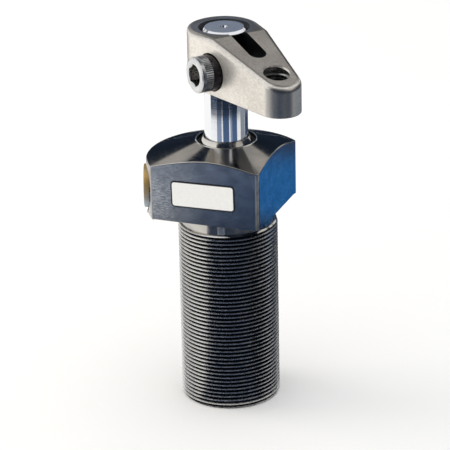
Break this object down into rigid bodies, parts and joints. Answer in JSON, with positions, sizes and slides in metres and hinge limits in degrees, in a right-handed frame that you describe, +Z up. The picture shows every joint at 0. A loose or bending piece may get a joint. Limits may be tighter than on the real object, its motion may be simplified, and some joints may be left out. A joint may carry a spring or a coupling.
{
  "type": "swing clamp cylinder",
  "caption": "Hydraulic swing clamp cylinder with a threaded barrel, a flatted cone-topped head, a chrome plunger and a tapered arm that lowers and turns to clamp.",
  "frame": {"origin": "centre of the base, on the body's axis", "axes": "+Z up along the plunger, front flat towards -Y, second flat towards +X"},
  "size_m": [0.0953, 0.0864, 0.1985],
  "materials": {
    "machined_steel": "turned and milled",
    "bright_steel": "ground",
    "chrome": "hard chrome, polished",
    "arm_steel": "fine blasted",
    "screw_steel": "oiled, knurled head",
    "yellow_zinc": "yellow zinc plate on steel",
    "bronze": "plain",
    "spring_steel": "drawn wire",
    "rubber": "moulded",
    "polymer": "moulded",
    "label_plate": "plain, bare"
  },
  "bodies": {
    "housing": {"body": "machined_steel", "gland_ring": "bright_steel", "wiper": "rubber", "rod_seal": "polymer", "rod_bush": "bronze", "port_adapter": "yellow_zinc", "port_seal": "rubber", "bottom_cap": "machined_steel", "cap_seal": "rubber", "breather": "bronze", "guide_sleeve": "machined_steel", "guide_balls": "bright_steel", "ball_band": "machined_steel", "return_spring": "spring_steel", "label": "label_plate"},
    "spring_carrier": {"spring_seat": "machined_steel"},
    "plunger_and_arm": {"plunger": "chrome", "piston": "machined_steel", "piston_seal": "polymer", "wear_ring": "bronze", "piston_nut": "machined_steel", "clamp_arm": "arm_steel", "pinch_screw": "screw_steel"}
  },
  "joints": [
    {"name": "clamp_stroke", "type": "slide", "parent": "housing", "child": "spring_carrier", "axis": [0, 0, 1], "range_m": [-0.025, 0], "stiffness_N_per_m": 1500, "springref_m": 0.02, "deforming": ["return_spring"]},
    {"name": "arm_swing", "type": "hinge", "parent": "spring_carrier", "child": "plunger_and_arm", "pos_m": [0, 0, 0.097], "axis": [0, 0, 1], "range_deg": [-90, 0]}
  ],
  "couplings": [
    {"joint": "arm_swing", "follows": "clamp_stroke", "rad_per_m": 62.83}
  ]
}
